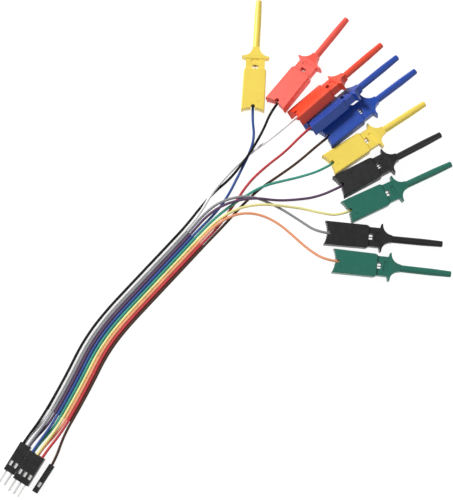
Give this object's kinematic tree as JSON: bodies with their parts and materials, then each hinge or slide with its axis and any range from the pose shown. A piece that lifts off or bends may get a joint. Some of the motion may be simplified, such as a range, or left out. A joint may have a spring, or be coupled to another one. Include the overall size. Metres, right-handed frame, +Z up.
{
  "type": "logic analyzer probe lead set",
  "caption": "Rainbow ribbon of signal leads with pin and socket housings at one end and spring-loaded test hooks at the other.",
  "frame": {"origin": "on the table, under the middle of the hooks and housings", "axes": "+Z up from the table, +Y from the housings towards the test hooks, +X to the right"},
  "size_m": [0.2067, 0.2323, 0.0131],
  "materials": {
    "yellow_hook_plastic": "moulded nylon, light satin",
    "salmon_hook_plastic": "moulded nylon, light satin",
    "red_hook_plastic": "moulded nylon, light satin",
    "blue_hook_plastic": "moulded nylon, light satin",
    "black_hook_plastic": "moulded nylon, light satin",
    "green_hook_plastic": "moulded nylon, light satin",
    "black_insulation": "PVC insulation, soft gloss",
    "white_insulation": "PVC insulation, soft gloss",
    "grey_insulation": "PVC insulation, soft gloss",
    "purple_insulation": "PVC insulation, soft gloss",
    "blue_insulation": "PVC insulation, soft gloss",
    "green_insulation": "PVC insulation, soft gloss",
    "yellow_insulation": "PVC insulation, soft gloss",
    "orange_insulation": "PVC insulation, soft gloss",
    "red_insulation": "PVC insulation, soft gloss",
    "brown_insulation": "PVC insulation, soft gloss",
    "housing_nylon": "moulded nylon, satin black",
    "contact_metal": "bright tin plate",
    "spring_steel": "drawn wire, bright"
  },
  "bodies": {
    "root": {"cap_01": "yellow_hook_plastic", "spring_01": "spring_steel", "hook_01": "spring_steel", "cap_02": "salmon_hook_plastic", "spring_02": "spring_steel", "hook_02": "spring_steel", "cap_03": "red_hook_plastic", "spring_03": "spring_steel", "hook_03": "spring_steel", "cap_04": "blue_hook_plastic", "spring_04": "spring_steel", "hook_04": "spring_steel", "cap_05": "blue_hook_plastic", "spring_05": "spring_steel", "hook_05": "spring_steel", "cap_06": "yellow_hook_plastic", "spring_06": "spring_steel", "hook_06": "spring_steel", "cap_07": "black_hook_plastic", "spring_07": "spring_steel", "hook_07": "spring_steel", "cap_08": "green_hook_plastic", "spring_08": "spring_steel", "hook_08": "spring_steel", "cap_09": "black_hook_plastic", "spring_09": "spring_steel", "hook_09": "spring_steel", "cap_10": "green_hook_plastic", "spring_10": "spring_steel", "hook_10": "spring_steel", "lead_01_black": "black_insulation", "lead_02_white": "white_insulation", "lead_03_grey": "grey_insulation", "lead_04_purple": "purple_insulation", "lead_05_blue": "blue_insulation", "lead_06_green": "green_insulation", "lead_07_yellow": "yellow_insulation", "lead_08_orange": "orange_insulation", "lead_09_red": "red_insulation", "lead_10_brown": "brown_insulation", "housing_2x2": "housing_nylon", "housing_2x3": "housing_nylon", "housing_single": "housing_nylon", "pin_contacts_2x2": "contact_metal", "pin_contacts_2x3": "contact_metal", "socket_contacts_single": "contact_metal"},
    "nozzle_01": {"nozzle_01": "yellow_hook_plastic"},
    "nozzle_02": {"nozzle_02": "salmon_hook_plastic"},
    "nozzle_03": {"nozzle_03": "red_hook_plastic"},
    "nozzle_04": {"nozzle_04": "blue_hook_plastic"},
    "nozzle_05": {"nozzle_05": "blue_hook_plastic"},
    "nozzle_06": {"nozzle_06": "yellow_hook_plastic"},
    "nozzle_07": {"nozzle_07": "black_hook_plastic"},
    "nozzle_08": {"nozzle_08": "green_hook_plastic"},
    "nozzle_09": {"nozzle_09": "black_hook_plastic"},
    "nozzle_10": {"nozzle_10": "green_hook_plastic"}
  },
  "joints": [
    {"name": "nozzle_01_slide", "type": "slide", "parent": "root", "child": "nozzle_01", "axis": [-0.0593, -0.9982, 0], "range_m": [0, 0.0049], "stiffness_N_per_m": 300, "deforming": ["spring_01"]},
    {"name": "nozzle_02_slide", "type": "slide", "parent": "root", "child": "nozzle_02", "axis": [-0.6266, -0.7793, 0], "range_m": [0, 0.0049], "stiffness_N_per_m": 300, "deforming": ["spring_02"]},
    {"name": "nozzle_03_slide", "type": "slide", "parent": "root", "child": "nozzle_03", "axis": [-0.7524, -0.6587, 0], "range_m": [0, 0.0049], "stiffness_N_per_m": 300, "deforming": ["spring_03"]},
    {"name": "nozzle_04_slide", "type": "slide", "parent": "root", "child": "nozzle_04", "axis": [-0.7705, -0.6374, 0], "range_m": [0, 0.0049], "stiffness_N_per_m": 300, "deforming": ["spring_04"]},
    {"name": "nozzle_05_slide", "type": "slide", "parent": "root", "child": "nozzle_05", "axis": [-0.7923, -0.6101, 0], "range_m": [0, 0.0049], "stiffness_N_per_m": 300, "deforming": ["spring_05"]},
    {"name": "nozzle_06_slide", "type": "slide", "parent": "root", "child": "nozzle_06", "axis": [-0.8339, -0.5519, 0], "range_m": [0, 0.0049], "stiffness_N_per_m": 300, "deforming": ["spring_06"]},
    {"name": "nozzle_07_slide", "type": "slide", "parent": "root", "child": "nozzle_07", "axis": [-0.8846, -0.4664, 0], "range_m": [0, 0.0049], "stiffness_N_per_m": 300, "deforming": ["spring_07"]},
    {"name": "nozzle_08_slide", "type": "slide", "parent": "root", "child": "nozzle_08", "axis": [-0.9048, -0.4258, 0], "range_m": [0, 0.0049], "stiffness_N_per_m": 300, "deforming": ["spring_08"]},
    {"name": "nozzle_09_slide", "type": "slide", "parent": "root", "child": "nozzle_09", "axis": [-0.9954, 0.0958, 0], "range_m": [0, 0.0049], "stiffness_N_per_m": 300, "deforming": ["spring_09"]},
    {"name": "nozzle_10_slide", "type": "slide", "parent": "root", "child": "nozzle_10", "axis": [-0.9936, 0.1132, 0], "range_m": [0, 0.0049], "stiffness_N_per_m": 300, "deforming": ["spring_10"]}
  ]
}
